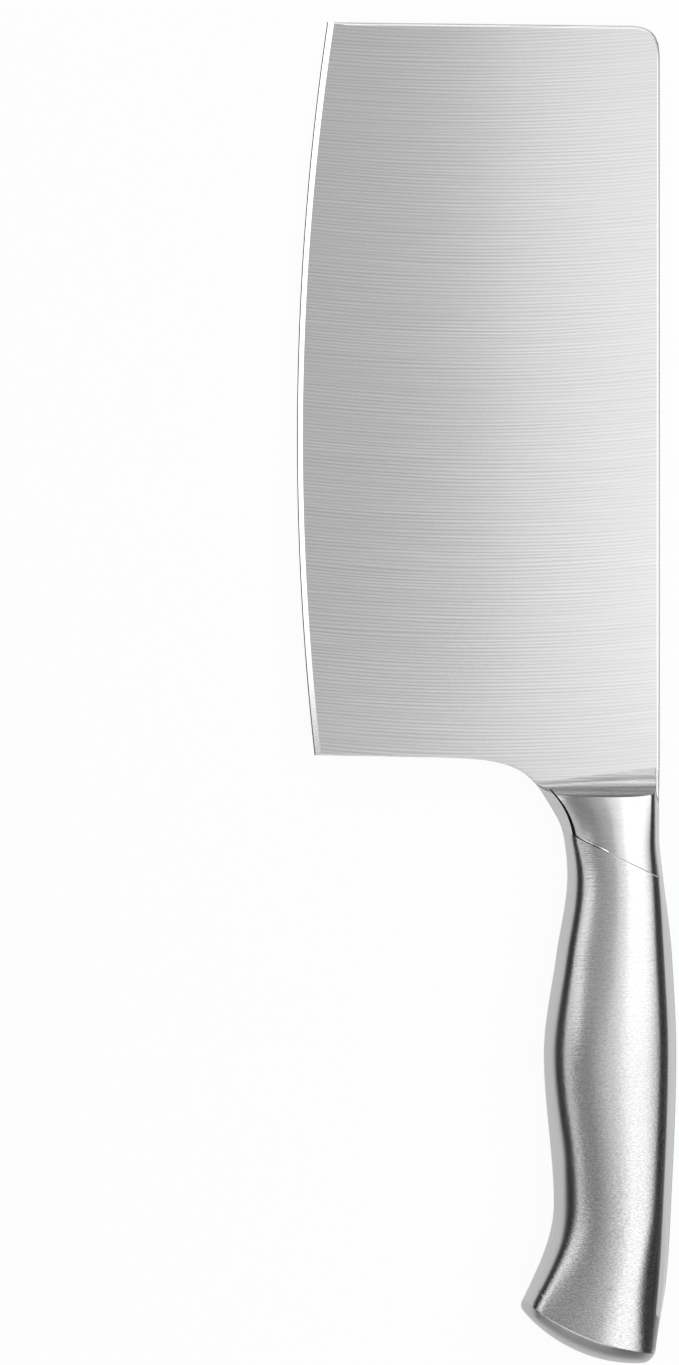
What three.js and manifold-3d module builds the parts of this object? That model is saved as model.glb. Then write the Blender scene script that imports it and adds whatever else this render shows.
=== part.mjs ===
import * as THREE from 'three';
import { mergeVertices } from 'three/addons/utils/BufferGeometryUtils.js';
import Module from 'manifold-3d';

// All-steel cleaver lying on its side, in millimetres.
// While modelling: x = 0 is the spine line and the edge is at -x, y = 0 is the
// front of the handle and the tip is at +y, z = 0 is the middle of the plate.

// Blade plate
const EDGE_LENGTH = 177.8;
const BLADE_WIDTH = 88;
const EDGE_RADIUS = 696;
const EDGE_APEX_FROM_TIP = 101;
const TIP_SLOPE = 0.7;
const TIP_CORNER_RADIUS = 6.8;
const PLATE_THICKNESS = 2.2;
const FLAT_BAND_WIDTH = 34;
const SHOULDER_THICKNESS = 1.2;
const EDGE_ANGLE = 24;
const PLATE_EASE = 0.3;

// Heel of the blade and the curve of its neck
const HEEL_FROM_HANDLE = 10.2;
const HEEL_SLOPE = 1;
const NECK_REACH = 28;
const NECK_LEAD = 17;
const NECK_TURN = 10;

// Tang inside the handle, with the holes that key it into the core
const TANG_WIDTH = 11;
const TANG_LENGTH = 74;
const TANG_END_RADIUS = 3.5;
const TANG_HOLE_DIAMETER = 6;
const TANG_HOLE_SPACING = 24;
const TANG_END_TO_HOLE = 12;

// Handle cross sections, by distance from the front of the handle: reach of the belly and of the back,
// half thickness, ridge of the side panel (0 in its middle, 1 at its back), then for each side
// the fall of the panel to its crease, the strip beyond the crease and the softness of the crease
const HANDLE_LENGTH = 137;
const WAIST_FROM_BUTT = 38.3;
const HOOK_FROM_BUTT = 14.1;
const STATIONS = {
  front: {
    at: 0, belly: 27.9, back: -0.2, half: 6.8, ridge: 0,
    bellyFall: 2.7, bellyStrip: 1.75, bellyRound: 1, backFall: 2.7, backStrip: 0.6, backRoll: 1.1,
  },
  choil: {
    at: 9.5, belly: 23.3, back: -0.2, half: 7.3, ridge: 0,
    bellyFall: 2.8, bellyStrip: 2.1, bellyRound: 1.1, backFall: 2.8, backStrip: 0.8, backRoll: 1.2,
  },
  neck: {
    at: 18.9, belly: 22.4, back: 0.7, half: 7.9, ridge: 0,
    bellyFall: 3, bellyStrip: 2.6, bellyRound: 1.2, backFall: 3, backStrip: 1.1, backRoll: 1.6,
  },
  grip: {
    at: 38.5, belly: 25.1, back: 2.9, half: 9.2, ridge: 0,
    bellyFall: 3.6, bellyStrip: 2.9, bellyRound: 1.5, backFall: 3.6, backStrip: 1.9, backRoll: 2.1,
  },
  swell: {
    at: 62.5, belly: 28.1, back: 3.95, half: 10.5, ridge: 0,
    bellyFall: 4.9, bellyStrip: 2.7, bellyRound: 1.8, backFall: 4.5, backStrip: 1.9, backRoll: 2.6,
  },
  waist: {
    at: HANDLE_LENGTH - WAIST_FROM_BUTT, belly: 25.7, back: 2.7, half: 9.5, ridge: 0.15,
    bellyFall: 4.1, bellyStrip: 3.55, bellyRound: 2, backFall: 3.7, backStrip: 1.9, backRoll: 2.9,
  },
  hook: {
    at: HANDLE_LENGTH - HOOK_FROM_BUTT, belly: 33.7, back: 0.7, half: 10.4, ridge: 0.42,
    bellyFall: 3.6, bellyStrip: 3.1, bellyRound: 2, backFall: 4.4, backStrip: 1.7, backRoll: 5,
  },
};
const FRONT_FLARE = 0.62;
const HOOK_FLARE = 0.48;
const BACK_CLOSE = 0.17;
const BELLY_FACET_ANGLE = 54;
const BACK_ROLL_ANGLE = 46;
const ROUND_SHARE_MAX = 0.9;

// Bolster cheeks: slanted joint, proud panel, ground fillet onto the blade,
// each brazed into a shallow seat cut in the plate
const BOLSTER_LENGTH_AT_SPINE = 19.6;
const BOLSTER_SLANT = 26;
const BOLSTER_STEP = 0.4;
const BOLSTER_STEP_DRAFT = 0.3;
const BOLSTER_SPIGOT = 5;
const FILLET_LENGTH_BELLY = 3.8;
const FILLET_LENGTH_BACK = 7.2;
const BOLSTER_SEAT_DEPTH = 0.15;
const FILLET_OVERRUN = 0.4;

// Butt: one arc across the end, closed by a cap. Its side panels end at a rim on a flatter arc,
// and a roll leads from the rim down to the wall of the butt
const BUTT_RADIUS = 36.5;
const BUTT_CENTRE_TO_SPINE = 5.7;
const CAP_DEPTH = 4.2;
const CAP_BAND = 2;
const CAP_SPIGOT = 3.5;
const RIM_CENTRE_AHEAD = 31.5;
const RIM_LEAN = 21.4;
const ROLL_FALL = 5.2;
const ROLL_LEAD = 0.535;
const ROLL_LEAD_FALL = 0.258;
const ROLL_TURN_FALL = 0.538;
const ROLL_FALL_MAX = 0.8;
const HOOK_ROUND = 1.2;
const CORNER_ROUND = 3.2;

// Sheet of the grip, seam welds and the clearances between pieces
const WALL = 1.4;
const WELD_WIDTH = 1.6;
const WELD_DEPTH = 0.8;
const JOINT_GAP = 0.1;
const BRAZE_FILM = 0.05;
const SEAT_CLEARANCE = 0.25;

// Fineness of the curved faces, and how far cutting bodies reach past the knife
const SECTION_STEP = 4.4;
const PANEL_STEPS = 7;
const BACK_ROLL_STEPS = 3;
const BUTT_ROLL_STEPS = 5;
const BUTT_ROLL_SECTIONS = 30;
const FILLET_STEPS = 8;
const EDGE_FACETS = 480;
const ARC_STEPS = 12;
const BUTT_ARC_STEPS = 48;
const CREASE_STEPS = 2;
const OUTLINE_STEPS = 6;
const SOLVE_ROUNDS = 50;
const MERGE_DISTANCE = 1e-4;
const RUN_OUT = 9;
const CUT_SPAN = 150;

const plateHalf = PLATE_THICKNESS / 2;
const { front, neck, waist } = STATIONS;
const radians = THREE.MathUtils.degToRad;
const heelY = HEEL_FROM_HANDLE;
const tipY = heelY + EDGE_LENGTH;
const buttCentre = new THREE.Vector2(-BUTT_CENTRE_TO_SPINE, BUTT_RADIUS - HANDLE_LENGTH);
const rimCentre = new THREE.Vector2(0, RIM_CENTRE_AHEAD)
  .rotateAround(new THREE.Vector2(), -radians(RIM_LEAN))
  .add(buttCentre);
const rimRadius = RIM_CENTRE_AHEAD + BUTT_RADIUS - CAP_DEPTH;

const wasm = await Module();
wasm.setup();

function solidFrom(geometry) {
  const bare = geometry.clone();
  bare.deleteAttribute('normal');
  bare.deleteAttribute('uv');
  const merged = mergeVertices(bare, MERGE_DISTANCE);
  return new wasm.Manifold(new wasm.Mesh({
    numProp: 3,
    vertProperties: new Float32Array(merged.attributes.position.array),
    triVerts: new Uint32Array(merged.index.array),
  }));
}

function geometryFrom(solid) {
  const mesh = solid.getMesh();
  const geometry = new THREE.BufferGeometry();
  geometry.setAttribute('position', new THREE.BufferAttribute(mesh.vertProperties, 3));
  geometry.setIndex(new THREE.BufferAttribute(mesh.triVerts, 1));
  geometry.computeVertexNormals();
  return geometry;
}

// A plan outline stood up on the x-y plane, centred on the plate
function standing(shape, height, options = {}) {
  const geometry = new THREE.ExtrudeGeometry(shape, {
    depth: height, bevelEnabled: false, curveSegments: ARC_STEPS, ...options,
  });
  geometry.translate(0, 0, -height / 2);
  return solidFrom(geometry);
}

// A closed skin through rings of equal length, with a flat end at each side
function loft(rings) {
  const count = rings[0].length;
  const positions = rings.flat().flatMap((point) => point.toArray());
  const index = [];
  for (let ring = 0; ring + 1 < rings.length; ring += 1) {
    for (let i = 0; i < count; i += 1) {
      const a = ring * count + i;
      const b = ring * count + (i + 1) % count;
      index.push(a, a + count, b, b, a + count, b + count);
    }
  }
  const ends = [[0, false], [rings.length - 1, true]];
  for (const [ring, turned] of ends) {
    const flat = rings[ring].map(flatten(rings[ring]));
    const windsBack = THREE.ShapeUtils.isClockWise(flat) !== turned;
    for (const face of THREE.ShapeUtils.triangulateShape(flat, [])) {
      const faceBack = THREE.ShapeUtils.isClockWise(face.map((corner) => flat[corner]));
      const ordered = faceBack === windsBack ? face : face.reverse();
      index.push(...ordered.map((corner) => ring * count + corner));
    }
  }
  const geometry = new THREE.BufferGeometry();
  geometry.setAttribute('position', new THREE.Float32BufferAttribute(positions, 3));
  geometry.setIndex(index);
  return solidFrom(geometry);
}

// Rings stand either across the handle (equal y) or across the blade (equal x)
function flatten(ring) {
  const acrossHandle = Math.abs(ring[0].y - ring[1].y) + Math.abs(ring[1].y - ring[2].y) < MERGE_DISTANCE;
  return acrossHandle
    ? (point) => new THREE.Vector2(point.x, point.z)
    : (point) => new THREE.Vector2(point.y, point.z);
}

// Smooth curve through the stations that keeps their highs and lows in place
function throughStations(key, startSlope, endSlope) {
  const stations = Object.values(STATIONS);
  const at = stations.map((station) => station.at);
  const value = stations.map((station) => station[key]);
  const last = at.length - 1;
  const secant = (i) => (value[i + 1] - value[i]) / (at[i + 1] - at[i]);
  const slope = value.map((unused, i) => {
    if (i === 0) return startSlope ?? secant(0);
    if (i === last) return endSlope ?? secant(last - 1);
    const before = secant(i - 1);
    const after = secant(i);
    return before * after <= 0 ? 0 : 2 * before * after / (before + after);
  });
  return (t) => {
    if (t <= at[0]) return value[0] + slope[0] * (t - at[0]);
    if (t >= at[last]) return value[last] + slope[last] * (t - at[last]);
    const i = at.findIndex((unused, n) => n < last && t < at[n + 1]);
    const run = at[i + 1] - at[i];
    const u = (t - at[i]) / run;
    const rise = u * u * (3 - 2 * u);
    const bend = u * (1 - u);
    return value[i] * (1 - rise) + value[i + 1] * rise
      + run * bend * ((1 - u) * slope[i] - u * slope[i + 1]);
  };
}

const bellyReach = throughStations('belly', -FRONT_FLARE, HOOK_FLARE);
const backReach = throughStations('back', 0, -BACK_CLOSE);
const halfThickness = throughStations('half');
const ridgeShare = throughStations('ridge');
const bellyFall = throughStations('bellyFall');
const bellyStrip = throughStations('bellyStrip');
const bellyRound = throughStations('bellyRound');
const backFall = throughStations('backFall');
const backStrip = throughStations('backStrip');
const backRoll = throughStations('backRoll');
const bellyX = (t) => -bellyReach(t);

// Side panel between two places across: a crown that falls from its ridge to both sides
// and rolls over towards the crease at the back
function sidePanel(t, start, end, top) {
  const ridge = THREE.MathUtils.lerp(start, end, (1 + ridgeShare(t)) / 2);
  const rollStart = end - backRoll(t);
  const slope = (x) => (x < ridge
    ? 2 * bellyFall(t) * (ridge - x) / (ridge - start) ** 2
    : 2 * backFall(t) * (ridge - x) / (end - ridge) ** 2);
  const crown = (x) => top + slope(x) * (x - ridge) / 2;
  const bend = (Math.tan(radians(BACK_ROLL_ANGLE)) + slope(rollStart)) / backRoll(t);
  const point = (x) => {
    const past = Math.max(0, x - rollStart);
    const z = crown(Math.min(x, rollStart)) + slope(rollStart) * past - bend * past * past / 2;
    return new THREE.Vector2(x, z);
  };
  const points = (from) => [
    ...spread(from, rollStart, PANEL_STEPS),
    ...spread(rollStart, end, BACK_ROLL_STEPS).slice(1),
  ].map(point);
  return { point, points };
}

function spread(from, to, steps) {
  return Array.from({ length: steps + 1 }, (unused, i) => THREE.MathUtils.lerp(from, to, i / steps));
}

// Upper half of one cross section, from the belly seam to the back seam:
// narrow wall, belly strip, crease, side panel, crease, back strip, wall
function halfSection(t, inset, step) {
  const belly = bellyX(t) + inset;
  const back = backReach(t) - inset;
  const half = halfThickness(t);
  const bellyZ = half - bellyFall(t);
  const backZ = half - backFall(t);
  const footZ = Math.max(plateHalf, bellyZ - bellyStrip(t) * Math.tan(radians(BELLY_FACET_ANGLE)));
  const narrowed = (crease, foot) => (crease - inset - foot) / (crease - foot);
  const bellyFoot = new THREE.Vector2(belly, footZ);
  const bellyCrease = new THREE.Vector2(belly + bellyStrip(t) * narrowed(bellyZ, footZ), bellyZ - inset);
  const backCrease = back - backStrip(t) * narrowed(backZ, plateHalf);
  const draft = step > 0 ? BOLSTER_STEP_DRAFT : 0;
  const start = bellyCrease.x + draft;
  const panel = sidePanel(t, start, backCrease - draft, half - inset + step);
  const over = step > 0
    ? [bellyCrease, ...panel.points(start)]
    : softenedPanel(t, bellyFoot, bellyCrease, panel);
  if (step > 0) over.push(new THREE.Vector2(backCrease, over[over.length - 1].y - step));
  return [
    new THREE.Vector2(belly, 0), bellyFoot, ...over,
    new THREE.Vector2(back, plateHalf), new THREE.Vector2(back, 0),
  ];
}

// Side panel whose crease at the belly is a short curve between the strip and the crown
function softenedPanel(t, foot, crease, panel) {
  const round = bellyRound(t);
  const share = Math.min(ROUND_SHARE_MAX, round / bellyStrip(t));
  const first = panel.point(crease.x + round);
  const curve = new THREE.QuadraticBezierCurve(crease.clone().lerp(foot, share), crease, first);
  return [...curve.getPoints(CREASE_STEPS), ...panel.points(first.x).slice(1)];
}

// Height of the outer face of the handle at a place along and across it
function faceHeight(t, x) {
  const section = halfSection(t, 0, 0);
  const last = section.length - 1;
  const place = THREE.MathUtils.clamp(x, section[0].x, section[last].x);
  const next = section.findIndex((point) => point.x > place);
  if (next < 0) return section[last - 1].y;
  const before = section[next - 1];
  return THREE.MathUtils.mapLinear(place, before.x, section[next].x, before.y, section[next].y);
}

// Handle body as a skin through its sections; inset draws it inside the wall
function handleSkin({ inset = 0, step = 0, both = false }) {
  const start = -RUN_OUT;
  const end = HANDLE_LENGTH + RUN_OUT;
  const sections = Math.ceil((end - start) / SECTION_STEP);
  const rings = [];
  for (let i = 0; i <= sections; i += 1) {
    const t = THREE.MathUtils.lerp(start, end, i / sections);
    const upper = halfSection(t, inset, step).map((p) => new THREE.Vector3(p.x, -t, p.y));
    const over = upper.slice(1, -1);
    const under = over.map((p) => new THREE.Vector3(p.x, p.y, -p.z)).reverse();
    rings.push(both ? [...over, ...under] : upper);
  }
  return loft(rings);
}

// Everything ahead of the slanted bolster joint, moved back by an offset
const jointT = (x) => BOLSTER_LENGTH_AT_SPINE + x * Math.tan(radians(BOLSTER_SLANT));
function aheadOfBolsterJoint(offset) {
  const shape = new THREE.Shape([
    new THREE.Vector2(-CUT_SPAN, -jointT(-CUT_SPAN) - offset),
    new THREE.Vector2(CUT_SPAN, -jointT(CUT_SPAN) - offset),
    new THREE.Vector2(CUT_SPAN, tipY + CUT_SPAN),
    new THREE.Vector2(-CUT_SPAN, tipY + CUT_SPAN),
  ]);
  return standing(shape, CUT_SPAN);
}

// Everything past an arc about the centre of the butt
function pastButtArc(radius) {
  const { x, y } = buttCentre;
  const shape = new THREE.Shape();
  shape.moveTo(x - CUT_SPAN, y);
  shape.lineTo(x - CUT_SPAN, y - CUT_SPAN);
  shape.lineTo(x + CUT_SPAN, y - CUT_SPAN);
  shape.lineTo(x + CUT_SPAN, y);
  shape.absarc(x, y, radius, 0, -Math.PI, true);
  return standing(shape, CUT_SPAN, { curveSegments: BUTT_ARC_STEPS });
}

// Place along the handle where one of its outlines reaches the butt arc
function whereButtMeets(outline) {
  let low = waist.at;
  let high = HANDLE_LENGTH + RUN_OUT;
  for (let i = 0; i < SOLVE_ROUNDS; i += 1) {
    const t = (low + high) / 2;
    const outside = buttCentre.distanceTo(new THREE.Vector2(outline(t), -t)) > BUTT_RADIUS;
    if (outside) high = t;
    else low = t;
  }
  return low;
}

// Plan of the butt end with its two rounded corners
function buttPlan() {
  const corner = (outline) => {
    const t = whereButtMeets(outline);
    return new THREE.Vector2(outline(t), -t);
  };
  const angleOf = (p) => Math.atan2(p.y - buttCentre.y, p.x - buttCentre.x);
  const onOutline = (outline, p, round) => {
    const t = -p.y - round;
    return new THREE.Vector2(outline(t), -t);
  };
  const hook = corner(bellyX);
  const heel = corner(backReach);
  const hookStart = onOutline(bellyX, hook, HOOK_ROUND);
  const heelEnd = onOutline(backReach, heel, CORNER_ROUND);
  const startAngle = angleOf(hook) + HOOK_ROUND / BUTT_RADIUS;
  const endAngle = angleOf(heel) - CORNER_ROUND / BUTT_RADIUS;
  const arcStart = new THREE.Vector2(BUTT_RADIUS, 0).rotateAround(new THREE.Vector2(), startAngle);
  arcStart.add(buttCentre);
  const shape = new THREE.Shape();
  shape.moveTo(-CUT_SPAN, 0);
  shape.lineTo(-CUT_SPAN, hookStart.y);
  shape.lineTo(hookStart.x, hookStart.y);
  shape.quadraticCurveTo(hook.x, hook.y, arcStart.x, arcStart.y);
  shape.absarc(buttCentre.x, buttCentre.y, BUTT_RADIUS, startAngle, endAngle, false);
  shape.quadraticCurveTo(heel.x, heel.y, heelEnd.x, heelEnd.y);
  shape.lineTo(CUT_SPAN, heelEnd.y);
  shape.lineTo(CUT_SPAN, 0);
  return standing(shape, CUT_SPAN, { curveSegments: BUTT_ARC_STEPS });
}

// Everything ahead of the end of the butt: at each place across, its wall on the butt arc,
// then the roll up to the rim, with the same below
function aheadOfButtRoll() {
  const onArc = (centre, radius, x) => centre.y - Math.sqrt(radius ** 2 - (x - centre.x) ** 2);
  const hookX = bellyX(whereButtMeets(bellyX)) - HOOK_ROUND;
  const heelX = backReach(whereButtMeets(backReach)) + CORNER_ROUND;
  const ahead = buttCentre.y + CAP_DEPTH;
  const rings = spread(hookX, heelX, BUTT_ROLL_SECTIONS).map((x) => {
    const wall = onArc(buttCentre, BUTT_RADIUS, x);
    const rim = onArc(rimCentre, rimRadius, x);
    const rimZ = faceHeight(-rim, x);
    const fall = Math.min(ROLL_FALL * (rim - wall) / CAP_DEPTH, rimZ * ROLL_FALL_MAX);
    const lean = fall * ROLL_LEAD_FALL / ((rim - wall) * ROLL_LEAD);
    const roll = new THREE.CubicBezierCurve(
      new THREE.Vector2(wall, rimZ - fall),
      new THREE.Vector2(wall, rimZ - fall * ROLL_TURN_FALL),
      new THREE.Vector2(THREE.MathUtils.lerp(rim, wall, ROLL_LEAD), rimZ - fall * ROLL_LEAD_FALL),
      new THREE.Vector2(rim, rimZ),
    ).getPoints(BUTT_ROLL_STEPS);
    const over = [
      ...roll,
      new THREE.Vector2(rim + CAP_BAND, rimZ + CAP_BAND * lean),
      new THREE.Vector2(rim + CAP_BAND, CUT_SPAN),
      new THREE.Vector2(ahead, CUT_SPAN),
    ];
    const under = over.map((p) => new THREE.Vector2(p.x, -p.y)).reverse();
    return [...under, ...over].map((p) => new THREE.Vector3(x, p.x, p.y));
  });
  return loft(rings);
}

// Ground fillet from the blade face up to the front of the bolster,
// short at the belly and long at the spine
const filletLength = (x) => THREE.MathUtils.mapLinear(
  x, -front.belly, 0, FILLET_LENGTH_BELLY, FILLET_LENGTH_BACK,
);
const seatZ = plateHalf - BOLSTER_SEAT_DEPTH;
const acrossBolster = [-front.belly - RUN_OUT, RUN_OUT];

function bolsterFillet() {
  const height = front.half + BOLSTER_STEP - plateHalf + FILLET_OVERRUN;
  const floorZ = seatZ + BRAZE_FILM;
  const rings = acrossBolster.map((x) => {
    const length = filletLength(x);
    const ring = [
      new THREE.Vector3(x, -HANDLE_LENGTH, floorZ),
      new THREE.Vector3(x, -HANDLE_LENGTH, CUT_SPAN),
      new THREE.Vector3(x, 0, CUT_SPAN),
    ];
    for (let i = 0; i <= FILLET_STEPS; i += 1) {
      const angle = Math.PI / 2 * i / FILLET_STEPS;
      ring.push(new THREE.Vector3(
        x,
        length * (1 - Math.cos(angle)),
        plateHalf + height * (1 - Math.sin(angle)),
      ));
    }
    ring.push(new THREE.Vector3(x, length, floorZ));
    return ring;
  });
  return loft(rings);
}

// Metal taken off the plate where the left cheek and the tang lie
function bolsterSeat() {
  const rings = acrossBolster.map((x) => {
    const edge = filletLength(x) + JOINT_GAP;
    return [
      new THREE.Vector3(x, -CUT_SPAN, seatZ),
      new THREE.Vector3(x, -CUT_SPAN, CUT_SPAN),
      new THREE.Vector3(x, edge, CUT_SPAN),
      new THREE.Vector3(x, edge, seatZ),
    ];
  });
  return loft(rings);
}

// Edge ground on both sides: a double cone turned about the centre of the edge arc
function edgeGrind() {
  const rise = EDGE_RADIUS * Math.tan(radians(EDGE_ANGLE));
  const profile = [
    new THREE.Vector2(0, -rise),
    new THREE.Vector2(EDGE_RADIUS, 0),
    new THREE.Vector2(0, rise),
  ];
  const geometry = new THREE.LatheGeometry(profile, EDGE_FACETS);
  geometry.rotateX(Math.PI / 2);
  geometry.translate(EDGE_RADIUS - BLADE_WIDTH, tipY - EDGE_APEX_FROM_TIP, 0);
  return solidFrom(geometry);
}

// Thickness of the plate: parallel along the spine, then a long convex grind
function plateThickness() {
  const shoulder = SHOULDER_THICKNESS / 2;
  const grindMiddle = -(FLAT_BAND_WIDTH + BLADE_WIDTH) / 2;
  const outer = -BLADE_WIDTH - RUN_OUT;
  const shape = new THREE.Shape();
  shape.moveTo(CUT_SPAN, -plateHalf);
  shape.lineTo(CUT_SPAN, plateHalf);
  shape.lineTo(-FLAT_BAND_WIDTH, plateHalf);
  shape.quadraticCurveTo(grindMiddle, plateHalf, -BLADE_WIDTH, shoulder);
  shape.lineTo(outer, shoulder);
  shape.lineTo(outer, -shoulder);
  shape.lineTo(-BLADE_WIDTH, -shoulder);
  shape.quadraticCurveTo(grindMiddle, -plateHalf, -FLAT_BAND_WIDTH, -plateHalf);
  const length = tipY + 2 * CUT_SPAN;
  const geometry = new THREE.ExtrudeGeometry(shape, {
    depth: length, bevelEnabled: false, curveSegments: ARC_STEPS,
  });
  geometry.rotateX(-Math.PI / 2);
  geometry.translate(0, -CUT_SPAN, 0);
  return solidFrom(geometry);
}

// Place along the handle where an outline crosses the slanted bolster joint
function whereJointMeets(outline) {
  let t = BOLSTER_LENGTH_AT_SPINE;
  for (let i = 0; i < SOLVE_ROUNDS; i += 1) t = jointT(outline(t));
  return t;
}

const tangMiddle = (neck.back - neck.belly) / 2;
const tangBack = tangMiddle + TANG_WIDTH / 2;
const tangBelly = tangMiddle - TANG_WIDTH / 2;
const tangEndY = -(jointT(tangMiddle) + TANG_LENGTH);

// Plate outline: tip, rounded corner, spine, handle back, tang, belly, neck, heel
function plateOutline() {
  const tipFall = (x) => tipY + (-BLADE_WIDTH - x) * Math.tan(radians(TIP_SLOPE));
  const outer = -BLADE_WIDTH - RUN_OUT;
  const cornerY = tipFall(0) - TIP_CORNER_RADIUS;
  const shape = new THREE.Shape();
  shape.moveTo(outer, tipFall(outer));
  shape.lineTo(-TIP_CORNER_RADIUS, tipFall(-TIP_CORNER_RADIUS));
  shape.quadraticCurveTo(0, tipFall(0), 0, cornerY);
  shape.lineTo(0, heelY);
  const backEnd = whereJointMeets(backReach) - JOINT_GAP;
  for (let i = 0; i <= OUTLINE_STEPS; i += 1) {
    const t = backEnd * i / OUTLINE_STEPS;
    shape.lineTo(backReach(t), -t);
  }
  shape.lineTo(tangBack, -jointT(tangBack) + JOINT_GAP);
  shape.lineTo(tangBack, tangEndY + TANG_END_RADIUS);
  const endRound = (x, from) => shape.absarc(
    x, tangEndY + TANG_END_RADIUS, TANG_END_RADIUS, from, from - Math.PI / 2, true,
  );
  endRound(tangBack - TANG_END_RADIUS, 0);
  endRound(tangBelly + TANG_END_RADIUS, -Math.PI / 2);
  shape.lineTo(tangBelly, -jointT(tangBelly) + JOINT_GAP);
  const bellyEnd = whereJointMeets(bellyX) - JOINT_GAP;
  for (let i = 0; i <= OUTLINE_STEPS; i += 1) {
    const t = bellyEnd * (1 - i / OUTLINE_STEPS);
    shape.lineTo(bellyX(t), -t);
  }
  const heelLine = (x) => heelY - (x + BLADE_WIDTH) * Math.tan(radians(HEEL_SLOPE));
  const neckStart = -front.belly - NECK_REACH;
  const turn = new THREE.Vector2(-FRONT_FLARE, 1).setLength(NECK_TURN);
  shape.bezierCurveTo(
    -front.belly + turn.x, turn.y,
    neckStart + NECK_LEAD, heelLine(neckStart + NECK_LEAD),
    neckStart, heelLine(neckStart),
  );
  shape.lineTo(outer, heelLine(outer));
  return shape;
}

function tangHoles(radius) {
  return [0, 1].map((i) => {
    const y = tangEndY + TANG_END_TO_HOLE + i * TANG_HOLE_SPACING;
    const hole = new THREE.Path();
    hole.absarc(tangMiddle, y, radius, 0, 2 * Math.PI);
    return hole;
  });
}

// Room for the tang inside the core, left open toward the bolster
function tangCavity() {
  const room = SEAT_CLEARANCE;
  const shape = new THREE.Shape([
    new THREE.Vector2(tangBelly - room, tangEndY - room),
    new THREE.Vector2(tangBack + room, tangEndY - room),
    new THREE.Vector2(tangBack + room, 0),
    new THREE.Vector2(tangBelly - room, 0),
  ]);
  shape.holes = tangHoles(TANG_HOLE_DIAMETER / 2 - room);
  return standing(shape, PLATE_THICKNESS + 2 * room);
}

// Weld metal in the vee along one seam, drawn in by a clearance
function seamWeld(outline, inward, clearance) {
  const rings = [];
  const start = 0;
  const end = HANDLE_LENGTH + RUN_OUT;
  const sections = Math.ceil((end - start) / SECTION_STEP);
  const halfWidth = WELD_WIDTH / 2 - clearance;
  const depth = WELD_DEPTH - clearance;
  for (let i = 0; i <= sections; i += 1) {
    const t = THREE.MathUtils.lerp(start, end, i / sections);
    const face = outline(t);
    const outside = clearance > 0 ? face : face - inward;
    const ring = [
      new THREE.Vector3(outside, -t, -halfWidth),
      new THREE.Vector3(face, -t, -halfWidth),
      new THREE.Vector3(face + inward * depth, -t, 0),
      new THREE.Vector3(face, -t, halfWidth),
      new THREE.Vector3(outside, -t, halfWidth),
    ];
    const kept = clearance > 0 ? ring.slice(1, 4) : ring;
    rings.push(inward > 0 ? kept.reverse() : kept);
  }
  return loft(rings);
}

const capSeat = BUTT_RADIUS - CAP_DEPTH - CAP_BAND;
const jointAhead = aheadOfBolsterJoint(JOINT_GAP / 2);
const pastCapSeam = pastButtArc(capSeat - JOINT_GAP / 2);
const seatInset = WALL + SEAT_CLEARANCE;

const plan = plateOutline();
plan.holes = tangHoles(TANG_HOLE_DIAMETER / 2);
const plate = standing(plan, PLATE_THICKNESS - 2 * PLATE_EASE, {
  bevelEnabled: true, bevelThickness: PLATE_EASE, bevelSize: PLATE_EASE,
  bevelOffset: -PLATE_EASE, bevelSegments: 1,
});
const seat = bolsterSeat();
const blade = plate.intersect(plateThickness())
  .intersect(edgeGrind())
  .subtract(seat)
  .subtract(seat.mirror([0, 0, 1]));

const cheekPanel = handleSkin({ step: BOLSTER_STEP }).intersect(aheadOfBolsterJoint(-JOINT_GAP / 2));
const cheekSpigot = handleSkin({ inset: seatInset }).intersect(aheadOfBolsterJoint(BOLSTER_SPIGOT));
const cheek = cheekPanel.add(cheekSpigot).intersect(bolsterFillet());

const gripShell = handleSkin({})
  .subtract(handleSkin({ inset: WALL }))
  .subtract(jointAhead)
  .subtract(pastCapSeam)
  .subtract(seamWeld(bellyX, 1, 0))
  .subtract(seamWeld(backReach, -1, 0));

const capBand = handleSkin({ both: true }).intersect(pastButtArc(capSeat + JOINT_GAP / 2));
const capSpigot = handleSkin({ both: true, inset: seatInset })
  .intersect(pastButtArc(capSeat - CAP_SPIGOT));
const buttCap = capBand.add(capSpigot).intersect(aheadOfButtRoll()).intersect(buttPlan());

const core = handleSkin({ both: true, inset: seatInset })
  .subtract(aheadOfBolsterJoint(BOLSTER_SPIGOT + SEAT_CLEARANCE))
  .subtract(pastButtArc(capSeat - CAP_SPIGOT - SEAT_CLEARANCE))
  .subtract(tangCavity());

const weldFor = (outline, inward) => seamWeld(outline, inward, JOINT_GAP / 2)
  .subtract(jointAhead)
  .subtract(pastCapSeam);

const steel = (colour, roughness) => new THREE.MeshStandardMaterial({
  color: colour, metalness: 1, roughness,
});

const knife = new THREE.Group();
function place(name, solid, material, mirrored = false) {
  const mesh = new THREE.Mesh(geometryFrom(solid), material);
  mesh.name = name;
  if (mirrored) mesh.scale.z = -1;
  knife.add(mesh);
}

place('blade', blade, steel(0xc9cacb, 0.28));
place('left_bolster_cheek', cheek, steel(0xc4c5c6, 0.24));
place('right_bolster_cheek', cheek, steel(0xc4c5c6, 0.24), true);
place('left_grip_shell', gripShell, steel(0xc2c3c4, 0.26));
place('right_grip_shell', gripShell, steel(0xc2c3c4, 0.26), true);
place('butt_cap', buttCap, steel(0xbfc0c1, 0.27));
place('belly_seam_weld', weldFor(bellyX, 1), steel(0xb9babb, 0.32));
place('back_seam_weld', weldFor(backReach, -1), steel(0xb9babb, 0.32));
place('handle_core', core, new THREE.MeshStandardMaterial({
  color: 0x8d8a82, metalness: 0, roughness: 0.9,
}));

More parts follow.
